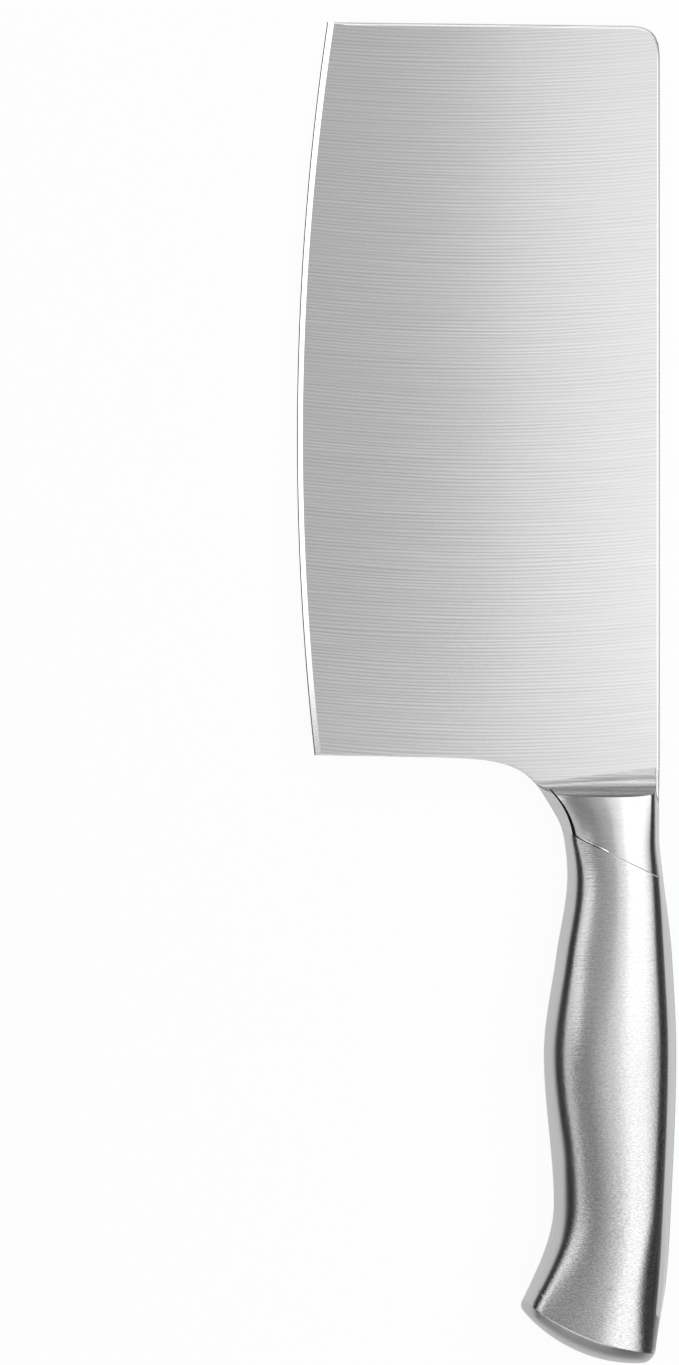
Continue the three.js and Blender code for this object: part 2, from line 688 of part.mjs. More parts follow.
// Origin at the middle of the footprint, on the ground under the knife
const box = new THREE.Box3().setFromObject(knife, true);
const middle = box.getCenter(new THREE.Vector3());
knife.position.set(-middle.x, -middle.y, -box.min.z);

const part = new THREE.Group();
part.name = 'butcher_knife';
part.add(knife);
part.updateMatrixWorld(true);

export default part;
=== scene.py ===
import functools
import math

import bmesh
import bpy
from mathutils import Matrix, Vector


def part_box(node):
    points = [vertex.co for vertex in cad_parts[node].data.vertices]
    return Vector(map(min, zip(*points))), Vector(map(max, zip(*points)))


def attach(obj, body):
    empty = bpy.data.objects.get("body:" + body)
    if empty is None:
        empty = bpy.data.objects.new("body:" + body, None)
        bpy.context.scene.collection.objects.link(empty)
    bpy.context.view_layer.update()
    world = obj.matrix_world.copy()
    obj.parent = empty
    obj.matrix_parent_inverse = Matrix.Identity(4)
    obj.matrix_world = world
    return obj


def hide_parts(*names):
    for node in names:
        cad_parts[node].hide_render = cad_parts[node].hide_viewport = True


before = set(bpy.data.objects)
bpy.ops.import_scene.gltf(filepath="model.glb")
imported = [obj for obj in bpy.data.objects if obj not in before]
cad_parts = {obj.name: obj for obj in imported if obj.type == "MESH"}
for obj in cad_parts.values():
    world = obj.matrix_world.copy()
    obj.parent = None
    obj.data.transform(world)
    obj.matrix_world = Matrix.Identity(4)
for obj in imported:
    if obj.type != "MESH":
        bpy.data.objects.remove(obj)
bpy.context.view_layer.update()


# Blade: one plate of stainless steel, a broad rectangle with a long curved edge. Both faces
# are ground thinner from the middle to the edge and brushed across in shallow bows. The plate
# runs on between the bolster cheeks, where it fills the outline of the handle.
blade_width = 88.0
edge_length = 177.8
edge_radius = 696.0
edge_apex_from_tip = 101.0
edge_angle = math.radians(24.0)
tip_slope = math.tan(math.radians(0.7))
tip_corner = 6.8
plate_half = 1.1
flat_band = 34.0
shoulder_half = 0.6
rim_width = 0.75
rim_drop = 0.27
rim_round = 0.35
rim_segments = 4
rim_fade = 2.0
apex_width = 0.24
apex_height = 0.19
heel_from_handle = 10.2
heel_slope = math.tan(math.radians(1.0))
neck_reach = 28.0
neck_lead = 17.0
neck_turn = 10.0

# Stations of the handle, in millimetres behind its front
handle_length = 137.0
station_at = (0.0, 9.5, 18.9, 38.5, 62.5, handle_length - 38.3, handle_length - 14.1)
belly_at_station = (27.9, 23.3, 22.4, 25.1, 28.1, 25.7, 33.7)
back_at_station = (-0.2, -0.2, 0.7, 2.9, 3.95, 2.7, 0.7)
front_flare = 0.62
hook_flare = 0.48
back_close = 0.17
joint_at_spine = 19.6
joint_slant = math.tan(math.radians(26.0))
fillet_at_belly = 3.8
fillet_at_back = 7.2

tip_y = heel_from_handle + edge_length
apex_y = tip_y - edge_apex_from_tip
plate_low, plate_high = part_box("blade")
knife_to_frame = Matrix.Translation((
    plate_low.x + blade_width / 1000,
    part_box("butt_cap")[0].y + handle_length / 1000,
    (plate_low.z + plate_high.z) / 2,
)) @ Matrix.Scale(0.001, 4)


def mix(start, end, share):
    return start + (end - start) * share


def clamped(share):
    return min(max(share, 0.0), 1.0)


def eased_between(value, start, end):
    """From 0 to 1 as a value passes from start to end, level at both."""
    share = clamped((value - start) / (end - start))
    return share * share * (3 - 2 * share)


def station_curve(values, first_slope=None, last_slope=None):
    """A smooth curve through the stations that keeps their highs and lows in place."""
    last = len(values) - 1
    runs = [station_at[i + 1] - station_at[i] for i in range(last)]
    steps = [(values[i + 1] - values[i]) / runs[i] for i in range(last)]
    slopes = [steps[0] if first_slope is None else first_slope]
    for before, after in zip(steps, steps[1:]):
        slopes.append(0.0 if before * after <= 0 else 2 * before * after / (before + after))
    slopes.append(steps[-1] if last_slope is None else last_slope)

    def value(t):
        if t <= station_at[0]:
            return values[0] + slopes[0] * (t - station_at[0])
        if t >= station_at[last]:
            return values[last] + slopes[last] * (t - station_at[last])
        i = max(n for n in range(last) if station_at[n] <= t)
        u = (t - station_at[i]) / runs[i]
        rise = eased_between(t, station_at[i], station_at[i + 1])
        bend = runs[i] * u * (1 - u) * ((1 - u) * slopes[i] - u * slopes[i + 1])
        return mix(values[i], values[i + 1], rise) + bend

    return value


belly_reach = station_curve(belly_at_station, -front_flare, hook_flare)
back_x = station_curve(back_at_station, 0.0, -back_close)


def belly_x(t):
    return -belly_reach(t)


def joint_t(x):
    """The slanted joint behind the bolster, as a distance from the front of the handle."""
    return joint_at_spine + x * joint_slant


def fillet_length(x):
    return mix(fillet_at_back, fillet_at_belly, -x / belly_at_station[0])


def solve(error, low, high, rounds=30):
    """Where a rising error passes zero, by halving the span."""
    for _ in range(rounds):
        middle = (low + high) / 2
        if error(middle) > 0:
            high = middle
        else:
            low = middle
    return (low + high) / 2


def tip_line(x):
    return tip_y - (blade_width + x) * tip_slope


def blade_top(x):
    """End of the blade, with the first half of its rounded spine corner."""
    if x < -tip_corner:
        return tip_line(x)
    s = min(0.5, 1 - math.sqrt(max(-x, 0.0) / tip_corner))
    return tip_line(x) - tip_corner * s * s


def spine_x(y):
    """Spine, with the second half of the rounded corner, and the back of the handle."""
    if y < 0:
        return back_x(-y)
    drop = tip_line(0) - y
    if drop > tip_corner:
        return back_x(0.0) * max(0.0, 1 - y / heel_from_handle) ** 2
    s = max(0.5, math.sqrt(max(drop, 0.0) / tip_corner))
    return -tip_corner * (1 - s) ** 2


def heel_line(x):
    return heel_from_handle - (x + blade_width) * heel_slope


neck_start = -belly_at_station[0] - neck_reach
neck_lean = Vector((-front_flare, 1.0)).normalized() * neck_turn
neck_curve = (
    Vector((-belly_at_station[0], 0.0)),
    Vector((-belly_at_station[0], 0.0)) + neck_lean,
    Vector((neck_start + neck_lead, heel_line(neck_start + neck_lead))),
    Vector((neck_start, heel_line(neck_start))),
)


def on_curve(curve, s):
    """A point of a cubic curve from its four handles."""
    a, b, c, d = curve
    return a * (1 - s) ** 3 + b * (3 * s * (1 - s) ** 2) + c * (3 * s * s * (1 - s)) + d * s ** 3


choil_t = solve(lambda t: t - joint_t(belly_x(t)), 0.0, joint_at_spine)


def blade_bottom(x):
    """Heel, neck, front of the handle's belly, then the slanted joint."""
    if x < neck_start:
        return heel_line(x)
    if x < -belly_at_station[0]:
        return on_curve(neck_curve, solve(lambda s: x - on_curve(neck_curve, s).x, 0.0, 1.0)).y
    if x < belly_x(choil_t):
        return -solve(lambda t: belly_x(t) - x, 0.0, choil_t)
    return -joint_t(x)


def plate_z(x):
    """Half thickness: parallel beside the spine, then a long convex grind."""
    ground = max(0.0, -flat_band - x) / (blade_width - flat_band)
    return plate_half - (plate_half - shoulder_half) * ground ** 2


def edge_x(y):
    """The cutting edge, one long arc."""
    return -blade_width + edge_radius - math.sqrt(edge_radius ** 2 - (y - apex_y) ** 2)


shoulder_rounds = 5


def shoulder_x(y):
    """Where the ground bevel of the edge meets the face of the plate."""
    x = edge_x(y)
    for _ in range(shoulder_rounds):
        x = edge_x(y) + plate_z(x) / math.tan(edge_angle)
    return x


def formed_grid(bm, across, along, place):
    """A flat grid of quads whose every corner is moved to place(column, row)."""
    grid = bmesh.ops.create_grid(bm, x_segments=across, y_segments=along, size=0.5)
    for corner in grid["verts"]:
        column = round((corner.co.x + 0.5) * across)
        row = round((corner.co.y + 0.5) * along)
        corner.co = place(column, row)


blade_columns = 40
blade_rows = 76
neck_columns = 34
neck_span = (0.555, 0.735)
outline_rounds = 6
even_shares = [i / blade_columns for i in range(blade_columns + 1)]
blade_shares = sorted(
    [share for share in even_shares if not neck_span[0] < share < neck_span[1]]
    + [mix(*neck_span, i / neck_columns) for i in range(neck_columns + 1)]
    + [1 - rim_width / blade_width]
)
blade_downs = sorted([i / blade_rows for i in range(blade_rows + 1)] + [rim_width / edge_length])
spine_column = len(blade_shares) + 1
heel_row = len(blade_downs)


def blade_corner(column, row):
    """One corner of the left half of the plate; the outermost ring stands on its middle."""
    share = blade_shares[min(max(column - 2, 0), len(blade_shares) - 1)]
    down = blade_downs[min(max(row - 1, 0), len(blade_downs) - 1)]
    y = mix(tip_y, heel_from_handle, down)
    for _ in range(outline_rounds):
        if column < 2:
            x = edge_x(y) + column * apex_width
        else:
            x = mix(shoulder_x(y), spine_x(y), share)
        y = mix(blade_top(x), blade_bottom(x), down)
    if column in (0, spine_column + 1) or row in (0, heel_row + 1):
        return Vector((x, y, 0.0))
    if column == 1:
        return Vector((x, y, apex_height))
    drop = 0.0
    if column > 2 and (column == spine_column or row == 1):
        drop = rim_drop * clamped((y + rim_fade) / (2 * rim_fade))
    return Vector((x, y, plate_z(x) - drop))


def settle(bm, reach=0.002):
    """Merges what coincides and turns every face outwards."""
    bmesh.ops.remove_doubles(bm, verts=bm.verts, dist=reach)
    bmesh.ops.recalc_face_normals(bm, faces=bm.faces)


def everything(bm):
    return bm.verts[:] + bm.edges[:] + bm.faces[:]


def keep_crisp(bm, angle):
    """Smooth faces, with the edges that turn by more than an angle left crisp."""
    for face in bm.faces:
        face.smooth = True
    for edge in bm.edges:
        edge.smooth = edge.calc_face_angle(0.0) < math.radians(angle)


def round_edges(bm, edges, size, segments):
    return bmesh.ops.bevel(
        bm, geom=edges, offset=size, offset_type="OFFSET", segments=segments, profile=0.5,
        affect="EDGES", clamp_overlap=True, material=-1,
    )


def set_in_place(bm, name, node, finishes):
    """Moves a modelled piece into the frame, where it stands for its CAD node."""
    bmesh.ops.transform(bm, matrix=knife_to_frame, verts=bm.verts)
    mesh = bpy.data.meshes.new(name)
    bm.to_mesh(mesh)
    bm.free()
    piece = bpy.data.objects.new(name, mesh)
    bpy.context.scene.collection.objects.link(piece)
    for finish in finishes:
        mesh.materials.append(finish)
    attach(piece, "root")
    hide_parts(node)
    return piece


class Wire:
    """One socket of a material. Arithmetic on wires adds Math nodes to it."""

    def __init__(self, tree, socket=None):
        self.tree = tree
        self.socket = socket

    def node(self, kind, settings=None, sockets=None, out=0):
        made = self.tree.nodes.new(kind)
        for name, value in (settings or {}).items():
            setattr(made, name, value)
        for name, value in (sockets or {}).items():
            if isinstance(value, Wire):
                self.tree.links.new(value.socket, made.inputs[name])
            else:
                made.inputs[name].default_value = value
        return Wire(self.tree, made.outputs[out] if made.outputs else None)

    def maths(self, operation, *values):
        return self.node("ShaderNodeMath", {"operation": operation}, dict(enumerate(values)))

    def __add__(self, other):
        return self.maths("ADD", self, other)

    def __sub__(self, other):
        return self.maths("SUBTRACT", self, other)

    def __rsub__(self, other):
        return self.maths("SUBTRACT", other, self)

    def __mul__(self, other):
        return self.maths("MULTIPLY", self, other)

    __radd__ = __add__
    __rmul__ = __mul__


def new_finish(name):
    """An empty material, with its object coordinates as three wires."""
    material = bpy.data.materials.new(name)
    material.use_nodes = True
    material.node_tree.nodes.clear()
    wire = Wire(material.node_tree)
    place = wire.node("ShaderNodeTexCoord", out="Object")
    axes = [wire.node("ShaderNodeSeparateXYZ", sockets={"Vector": place}, out=n) for n in "XYZ"]
    return material, wire, axes


def streaks(wire, x, y, z, detail=2.0):
    """Noise from 0 to 1 on stretched coordinates, in features of one unit."""
    vector = wire.node("ShaderNodeCombineXYZ", sockets={"X": x, "Y": y, "Z": z})
    return wire.node(
        "ShaderNodeTexNoise", {"noise_dimensions": "3D"},
        {"Vector": vector, "Scale": 1.0, "Detail": detail, "Roughness": 0.55},
    )


def fade(wire, value, start, end, low=0.0, high=1.0):
    """Eases from low to high as a value passes from start to end."""
    return wire.node(
        "ShaderNodeMapRange", {"interpolation_type": "SMOOTHSTEP"},
        {"Value": value, "From Min": start, "From Max": end, "To Min": low, "To Max": high},
    )


def steel(wire, tone, roughness, height, depth):
    """Bare steel whose tone, roughness and surface height vary."""
    colour = wire.node(
        "ShaderNodeCombineColor",
        sockets={"Red": tone, "Green": tone, "Blue": tone * 1.004},
    )
    bump = wire.node(
        "ShaderNodeBump",
        sockets={"Strength": 1.0, "Distance": depth, "Height": height},
    )
    shader = wire.node("ShaderNodeBsdfPrincipled", sockets={
        "Base Color": colour, "Metallic": 1.0, "Roughness": roughness, "Normal": bump,
    })
    wire.node("ShaderNodeOutputMaterial", sockets={"Surface": shader})


brushed_blade, wire, (x, y, z) = new_finish("brushed_blade_steel")
bow_radius = 0.414
bowed = y - x * x * (0.5 / bow_radius)
drift = streaks(wire, x * 9.0, bowed * 130.0, z * 90.0)
press = streaks(wire, x * 22.0, bowed * 420.0, z * 200.0)
hairs = streaks(wire, x * 40.0, bowed * 3600.0, z * 900.0)
line_pitch = 0.000855
lines = wire.maths("SINE", bowed * (2 * math.pi / line_pitch) + drift * 16.0)
calm = fade(wire, x, -0.005, 0.045, 1.0, 0.4)
marks = lines * press * calm
tone = 0.70 + marks * 0.12 + (hairs - 0.5) * 0.16
roughness = 0.22 + (hairs - 0.5) * 0.06
steel(wire, tone, roughness, marks * 0.5 + hairs, 0.000006)

# Edge steel: ground and polished, with its tone raised well above the blade's and the bolster's
# as a painted highlight, so the bevel of the cutting edge and the rim along the bolster joint
# render near white.
edge_steel_with_painted_highlight, wire, (x, y, z) = new_finish("painted_highlight_edge_steel")
hairs = streaks(wire, x * 900.0, y * 3800.0, z * 900.0)
tone = 0.92 + (hairs - 0.5) * 0.10
steel(wire, tone, 0.16 + (hairs - 0.5) * 0.08, hairs, 0.000004)

bevel_lean = (10.0, 50.0)
outer_turn = math.radians(50.0)
outer_least_z = 0.3
outer_least_y = -5.0
crisp_on_blade = 12.0

bm = bmesh.new()
formed_grid(bm, spine_column + 1, heel_row + 1, blade_corner)
bmesh.ops.mirror(bm, geom=everything(bm), matrix=Matrix(), merge_dist=0.001, axis="Z")
settle(bm)
# The ground bevel of the cutting edge takes the edge steel and its painted highlight.
for face in bm.faces:
    middle = face.calc_center_median()
    slope = math.degrees(math.acos(min(1.0, abs(face.normal.z))))
    at_edge = middle.x < edge_x(middle.y) + plate_half / math.tan(edge_angle)
    face.material_index = 1 if bevel_lean[0] < slope < bevel_lean[1] and at_edge else 0
outer_edges = [
    edge for edge in bm.edges
    if edge.calc_face_angle(0.0) > outer_turn
    and all(abs(v.co.z) > outer_least_z and v.co.y > outer_least_y for v in edge.verts)
]
keep_crisp(bm, crisp_on_blade)
for edge in outer_edges:
    edge.smooth = True
round_edges(bm, outer_edges, rim_round, rim_segments)
for face in bm.faces:
    face.smooth = True
blade_plate = set_in_place(
    bm, "blade_plate", "blade", [brushed_blade, edge_steel_with_painted_highlight],
)
even_faces = blade_plate.modifiers.new("even_faces", "WEIGHTED_NORMAL")
even_faces.keep_sharp = True


# Bolster cheeks: two solid blocks of the same steel, brazed to the faces of the plate. The front
# is ground into the blade as a fillet, the crowned panel stands a little proud of the strips
# beside it, and the back end is cut on a slant where the grip begins.
half_at_station = (6.8, 7.3, 7.9, 9.2, 10.5, 9.5, 10.4)
ridge_at_station = (0.0, 0.0, 0.0, 0.0, 0.0, 0.05, 0.16)
crown_at_station = (2.0, 2.0, 2.0, 2.0, 2.3, 2.2, 1.55)
belly_rise_at_station = (2.7, 2.8, 2.95, 3.35, 4.5, 4.1, 3.8)
back_rise_at_station = (2.7, 2.8, 3.0, 3.6, 4.3, 3.7, 4.4)
belly_run_at_station = (2.6, 2.1, 2.6, 2.9, 2.7, 3.55, 3.1)
belly_round_at_station = (1.0, 1.1, 1.7, 2.0, 2.2, 2.4, 2.5)
belly_facet = math.tan(math.radians(54.0))
back_run_at_station = (0.9, 0.85, 0.85, 1.6, 1.65, 1.5, 0.5)
back_roll_at_station = (1.2, 1.5, 2.0, 2.7, 2.9, 3.4, 7.2)
back_roll_slope = math.tan(math.radians(47.0))
panel_step = 0.4
groove_depth = 0.3
groove_bottom = 0.4
groove_at_front = 0.5
groove_at_choil = 0.8
step_draft = 0.1
joint_half = 0.1
joint_rim_width = (0.3, 0.05)
joint_rim_narrows = (-14.0, -8.5)
joint_rim_depth = (0.09, 0.15)
joint_rim_deepens = (-18.3, -15.0)
back_comes_in = 3.0
cheek_floor = 1.0
fillet_over = 0.4
fillet_height = half_at_station[0] + panel_step - plate_half + fillet_over
cheek_panel = 30
crease_steps = 6
fillet_rows = 14
fillet_rounds = 8
cheek_rows = 26
joint_rounds = 9
half_thickness = station_curve(half_at_station)
ridge_share = station_curve(ridge_at_station)
crown_power = station_curve(crown_at_station)
belly_rise = station_curve(belly_rise_at_station)
back_rise = station_curve(back_rise_at_station)
belly_run = station_curve(belly_run_at_station, 0.2)
belly_round = station_curve(belly_round_at_station)
back_run = station_curve(back_run_at_station)
back_roll = station_curve(back_roll_at_station, last_slope=-0.3)


def crease_points(t):
    """The creases at the belly and at the back, each as a place across and a height."""
    half = half_thickness(t)
    belly = Vector((belly_x(t) + belly_run(t), half - belly_rise(t)))
    return belly, Vector((back_x(t) - back_run(t), half - back_rise(t)))


def crown(t, start, end, top):
    """The crowned side panel between two places across: its height, its slope and its roll."""
    ridge = mix(start, end, 0.5 + ridge_share(t) / 2)
    roll = end - back_roll(t)

    def crowned(x):
        """Height and slope of the crown before it rolls over at the back."""
        if x > ridge:
            fall, power, reach = back_rise(t), 2.0, ridge - end
        else:
            fall, power, reach = belly_rise(t), crown_power(t), ridge - start
        share = (ridge - x) / reach
        return top - fall * share ** power, power * fall * share ** (power - 1) / reach

    def panel(x):
        height, slope = crowned(min(x, roll))
        past = max(0.0, x - roll)
        bend = (back_roll_slope + slope) / back_roll(t)
        return Vector((x, height + slope * past - bend * past * past / 2))

    return panel, crowned, roll


def joint_rim(x):
    """Width of the rim along the joint, which carries a painted highlight and runs out towards
    the back.
    """
    return mix(*joint_rim_width, eased_between(x, *joint_rim_narrows))


def joint_drop(x):
    """Depth of that rim, which leans more away from the belly."""
    return mix(*joint_rim_depth, eased_between(x, *joint_rim_deepens))


def belly_foot(t, corner):
    """Top of the narrow wall along the belly, where the slope of the strip begins."""
    return Vector((belly_x(t), max(plate_half, corner.y - belly_run(t) * belly_facet)))


def groove_width(t):
    """Width of the groove between the belly strip and the proud panel of the bolster, coloured
    near black as painted shade.
    """
    return mix(groove_at_front, groove_at_choil, clamped(t / choil_t))


def eased(before, corner, after, run_in, run_out):
    """A corner softened into a short curve between its two neighbours."""
    corner = Vector(corner)
    ends = []
    for neighbour, run in ((before, run_in), (after, run_out)):
        side = Vector(neighbour) - corner
        ends.append(corner + side.normalized() * min(run, side.length))
    shares = [i / crease_steps for i in range(crease_steps + 1)]
    first, last = ends
    return [first * (1 - s) ** 2 + corner * (2 * s * (1 - s)) + last * s * s for s in shares]


def cheek_back_x(t):
    """The back of a cheek, which stands in from the eased rim of the spine at its front."""
    return back_x(t) - rim_width * eased_between(t, back_comes_in, -back_comes_in)


def cheek_section(t):
    """Across one cheek: wall, belly facet, groove, crowned panel, roll, back facet, wall."""
    belly, back = crease_points(t)
    start, end = belly.x + groove_width(t), back.x - step_draft
    panel, _, roll = crown(t, start, end, half_thickness(t) + panel_step)
    foot = belly_foot(t, belly)
    back_foot = Vector((cheek_back_x(t), plate_half))
    points = [Vector((belly_x(t), cheek_floor)), foot, foot.lerp(belly, 0.5), belly]
    points += [Vector((mix(belly.x, start, groove_bottom), belly.y - groove_depth))]
    points += [panel(mix(start, roll, i / cheek_panel)) for i in range(cheek_panel)]
    points += [panel(mix(roll, end, i / crease_steps)) for i in range(crease_steps + 1)]
    points += [Vector((back.x, points[-1].y - panel_step))]
    points += [back_foot.lerp(points[-1], 0.5), back_foot]
    return points + [Vector((cheek_back_x(t), cheek_floor))]


def fillet_z(x, y):
    """Height of the ground fillet, a quarter of an ellipse."""
    share = clamped(1 - y / fillet_length(x))
    return plate_half + fillet_height * (1 - math.sqrt(1 - share * share))


cheek_columns = len(cheek_section(0.0)) - 1
panel_columns = range(5, cheek_columns - 4)
cheek_front = []
for column in range(cheek_columns + 1):
    def above_fillet(y, column=column):
        x, z = cheek_section(-y)[column]
        return z - fillet_z(x, y)
    cheek_front.append(solve(above_fillet, 0.0, fillet_at_back))


@functools.cache
def cheek_corner(column, row):
    """Rows run from the foot of the fillet, over the front edge, to the slanted joint."""
    front = cheek_front[column]
    if row <= fillet_rows:
        y = front
        for _ in range(fillet_rounds):
            x = cheek_section(-y)[column][0]
            length = fillet_length(x)
            start = math.acos(min(max(1 - front / length, -1.0), 1.0))
            y = length * (1 - math.cos(mix(math.pi / 2, start, row / fillet_rows)))
        height = cheek_section(-y)[column][1]
        return Vector((x, y, min(height, fillet_z(x, y))))
    past = row - fillet_rows - cheek_rows
    share = min(1.0, (row - fillet_rows) / cheek_rows)
    t = mix(-front, joint_at_spine, share)
    for _ in range(joint_rounds):
        x, z = cheek_section(t)[column]
        back_off = joint_half if column in panel_columns else 0.0
        t = mix(-front, joint_t(x) - back_off - (joint_rim(x) if past < 1 else 0.0), share)
    if past >= 1 and column in panel_columns:
        z -= joint_drop(x)
    return Vector((x, -t, z if past < 2 else cheek_floor))


satin_bolster, wire, (x, y, z) = new_finish("satin_bolster_steel")
on_fillet = fade(wire, y, -0.0262, -0.0248)
lines = streaks(wire, x * 60.0, y * 2500.0, z * 900.0)
grain = streaks(wire, x * 900.0, y * 2300.0, z * 900.0)
tone = 0.56 + (lines - 0.5) * (0.08 + on_fillet * 0.3) + (grain - 0.5) * 0.10
height = lines * (1.0 + on_fillet * 3.0) + grain
steel(wire, tone, 0.21 + (grain - 0.5) * 0.08, height, 0.00001)

# Groove colour: near-black steel laid in the groove beside the proud panel as painted shade,
# standing in for the shadow inside it.
groove_painted_shade, wire, (x, y, z) = new_finish("painted_groove_shade")
scale = streaks(wire, x * 700.0, y * 700.0, z * 700.0)
steel(wire, 0.03 + scale * 0.03, 0.45 + scale * 0.2, scale, 0.00001)


def flipped(bm):
    """The same piece for the other side of the plate."""
    bmesh.ops.scale(bm, vec=(1.0, 1.0, -1.0), verts=bm.verts)
    bmesh.ops.reverse_faces(bm, faces=bm.faces)


groove_least_z = plate_half + 1.0
rim_least_lean = 0.5
edge_least_turn = math.radians(24.0)
edge_least_z = plate_half + 0.4
edge_round = 0.06
edge_segments = 2
crisp_on_cheek = 30.0

for side in ("left", "right"):
    bm = bmesh.new()
    formed_grid(bm, cheek_columns, fillet_rows + cheek_rows + 2, cheek_corner)
    rim = [edge for edge in bm.edges if edge.is_boundary]
    bmesh.ops.contextual_create(bm, geom=rim)
    settle(bm)
    for face in bm.faces:
        middle = face.calc_center_median()
        belly = crease_points(-middle.y)[0]
        in_groove = belly.x < middle.x < belly.x + groove_width(-middle.y)
        behind = -middle.y - joint_t(middle.x) + joint_half
        on_rim = -joint_rim(middle.x) < behind < 0 and middle.x > belly.x
        # Faces in the groove take the painted shade, and faces of the joint rim take the painted
        # highlight of the edge steel.
        if in_groove and middle.z > groove_least_z:
            face.material_index = 1
        elif on_rim and face.normal.z > rim_least_lean:
            face.material_index = 2
    crisp = [
        edge for edge in bm.edges
        if edge.calc_face_angle(0.0) > edge_least_turn
        and all(v.co.z > edge_least_z for v in edge.verts)
    ]
    keep_crisp(bm, crisp_on_cheek)
    round_edges(bm, crisp, edge_round, edge_segments)
    for face in bm.faces:
        face.smooth = True
    if side == "right":
        flipped(bm)
    cheek = set_in_place(
        bm, side + "_cheek", side + "_bolster_cheek",
        [satin_bolster, groove_painted_shade, edge_steel_with_painted_highlight],
    )
    even_faces = cheek.modifiers.new("even_faces", "WEIGHTED_NORMAL")
    even_faces.keep_sharp = True


# Grip shells: the two halves of the hollow handle, pressed from 1.4 mm stainless sheet. Each has
# a crowned side panel between two soft creases; satin finished across, with a blasted grain
# towards the butt. They are welded to each other, to the bolster and to the butt cap.
sheet_thickness = 1.4
weld_half = 0.8
butt_radius = 36.5
butt_x = -5.7
cap_depth = 4.2
cap_band = 2.0
cap_seam = butt_radius - cap_depth - cap_band
butt_y = butt_radius - handle_length
most_softened = 0.85
belly_strip_shares = (0.35, 0.7)
back_strip_shares = (0.15, 0.55)
grip_panel = 30
grip_rows = 84
seam_rounds = 8
seam_pull = 0.8
crisp_on_shell = 38.0


def grip_section(t):
    """Across one shell: seam wall, belly strip, crease, crowned panel, roll, strip, wall."""
    belly, back = crease_points(t)
    panel, crowned, roll = crown(t, belly.x, back.x, half_thickness(t))
    softened = min(belly_round(t), belly_run(t) * most_softened)
    first = panel(belly.x + softened)
    belly.y = first.y - crowned(first.x)[1] * softened
    foot, back_foot = belly_foot(t, belly), Vector((back_x(t), plate_half))
    strip_end = foot.lerp(belly, 1 - softened / belly_run(t))
    points = [Vector((belly_x(t), weld_half)), foot]
    points += [foot.lerp(strip_end, share) for share in belly_strip_shares]
    points += eased(foot, belly, first, (belly - strip_end).length, softened * 2)
    points += [panel(mix(first.x, roll, i / grip_panel)) for i in range(1, grip_panel)]
    points += [panel(mix(roll, back.x, i / crease_steps)) for i in range(crease_steps + 1)]
    points += [points[-1].lerp(back_foot, share) for share in back_strip_shares]
    return points + [back_foot, Vector((back_x(t), weld_half))]


panel_span = range(4 + crease_steps, 4 + 2 * crease_steps + grip_panel)


def seam_t(x, radius):
    """Where an arc about the centre of the butt lies, behind the front of the handle."""
    return math.sqrt(max(radius ** 2 - (x - butt_x) ** 2, 0.0)) - butt_y


@functools.cache
def grip_corner(column, row):
    """Rows run from the slanted joint to the seam of the butt cap."""
    share = row / grip_rows
    t = mix(joint_at_spine, handle_length - cap_depth, share)
    for _ in range(seam_rounds):
        x, z = grip_section(t)[column]
        start = joint_t(x) + (joint_half if column in panel_span else 0.0)
        t = mix(t, mix(start, seam_t(x, cap_seam), share), seam_pull)
    return Vector((x, -t, z))


grip_columns = len(grip_section(0.0)) - 1
satin_grip, wire, (x, y, z) = new_finish("satin_grip_steel")
toward_butt = fade(wire, y, -0.06, -0.14)
lines = streaks(wire, x * 160.0, y * 2300.0, z * 160.0)
grain = streaks(wire, x * 1500.0, y * 3900.0, z * 1500.0)
brushing = (lines - 0.5) * (0.10 - toward_butt * 0.06)
blasting = (grain - 0.5) * (0.3 + toward_butt * 0.35)
tone = 0.56 + brushing + blasting
roughness = 0.21 + (grain - 0.5) * 0.08
height = lines * (1.0 - toward_butt * 0.7) + grain * (0.5 + toward_butt * 0.5)
steel(wire, tone, roughness, height, 0.00004)

polished_strip, wire, (x, y, z) = new_finish("polished_strip_steel")
hairs = streaks(wire, x * 300.0, y * 120.0, z * 900.0)
steel(wire, 0.55 + (hairs - 0.5) * 0.05, 0.19 + (hairs - 0.5) * 0.05, hairs, 0.000003)
panel_lean = math.cos(math.radians(40.0))


def polish_strips(bm):
    """The steep strips beside the panels are polished, and the panels keep their grain."""
    for face in bm.faces:
        face.material_index = 1 if abs(face.normal.z) < panel_lean else 0


for side in ("left", "right"):
    bm = bmesh.new()
    formed_grid(bm, grip_columns, grip_rows, grip_corner)
    settle(bm)
    if sum(face.normal.z for face in bm.faces) < 0:
        bmesh.ops.reverse_faces(bm, faces=bm.faces)
    bmesh.ops.solidify(bm, geom=bm.faces[:], thickness=sheet_thickness)
    polish_strips(bm)
    keep_crisp(bm, crisp_on_shell)
    if side == "right":
        flipped(bm)
    set_in_place(
        bm, side + "_shell", side + "_grip_shell", [satin_grip, polished_strip],
    )


# Butt cap: a rolled end of the same steel, welded into the open end of the grip and blended
# with it. A crease runs across in a flat arc where the side panels meet the roll.
rim_radius = 63.8
rim_middle = Vector((butt_x + 11.5, butt_y + 29.3))
butt_middle = Vector((butt_x, butt_y))
rim_bevel = 0.85
rim_bevel_segments = 4
rim_least_z = 6.0
rim_reach = 0.01
crisp_on_cap = 24.0
band_rows = 5
band_rounds = 12
band_pull = 0.7
roll_rows = 12
wall_rows = 5
roll_fall = 5.2
roll_lead = (0.535, 0.258)
roll_end = 0.538
hook_round = 1.2
corner_round = 3.2
spigot_shrink = (0.86, 0.95, 0.8)
spigot_length = 3.5
search_before = 6.0
search_past = 9.0


